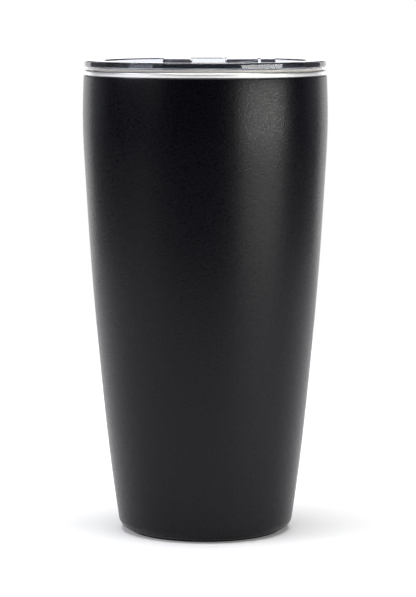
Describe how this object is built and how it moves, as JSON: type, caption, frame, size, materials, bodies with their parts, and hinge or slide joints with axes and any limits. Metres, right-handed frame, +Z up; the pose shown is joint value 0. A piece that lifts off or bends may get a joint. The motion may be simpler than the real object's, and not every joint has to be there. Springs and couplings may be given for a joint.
{
  "type": "insulated travel tumbler",
  "caption": "Round double-wall vacuum drinking cup, wider at the top, with a clear press-in lid and a sliding closure over its drink opening.",
  "frame": {"origin": "centre of the foot pad's underside, where the cup stands", "axes": "+Z up along the cup's axis; the drink opening is on the +X side of the lid, and the slider opens towards -X"},
  "size_m": [0.089, 0.089, 0.1726],
  "materials": {
    "powder_coat": "satin",
    "polished_steel": "polished",
    "plate_steel": "satin",
    "copper_foil": "satin",
    "seal_glass": "gloss",
    "getter_alloy": "matte",
    "clear_plastic": "polished",
    "clear_silicone": "satin",
    "black_silicone": "matte"
  },
  "bodies": {
    "cup": {"outer_shell": "powder_coat", "inner_liner": "polished_steel", "foil_wrap": "copper_foil", "foil_disc": "copper_foil", "vacuum_base_plate": "plate_steel", "vacuum_seal_bead": "seal_glass", "getter_holder": "plate_steel", "getter_pill": "getter_alloy", "base_cover": "plate_steel", "foot_pad": "black_silicone"},
    "gasket": {"lid_gasket": "clear_silicone"},
    "lid": {"lid_body": "clear_plastic"},
    "slider": {"slider": "clear_plastic", "slider_seal": "clear_silicone"}
  },
  "joints": [
    {"name": "lid_lift", "type": "slide", "parent": "cup", "child": "gasket", "axis": [0, 0, 1], "range_m": [0, 0.1]},
    {"name": "lid_turn", "type": "hinge", "parent": "gasket", "child": "lid", "pos_m": [0, 0, 0.1685], "axis": [0, 0, 1], "continuous": true},
    {"name": "slider_slide", "type": "slide", "parent": "lid", "child": "slider", "axis": [-1, 0, 0], "range_m": [0, 0.013]}
  ]
}
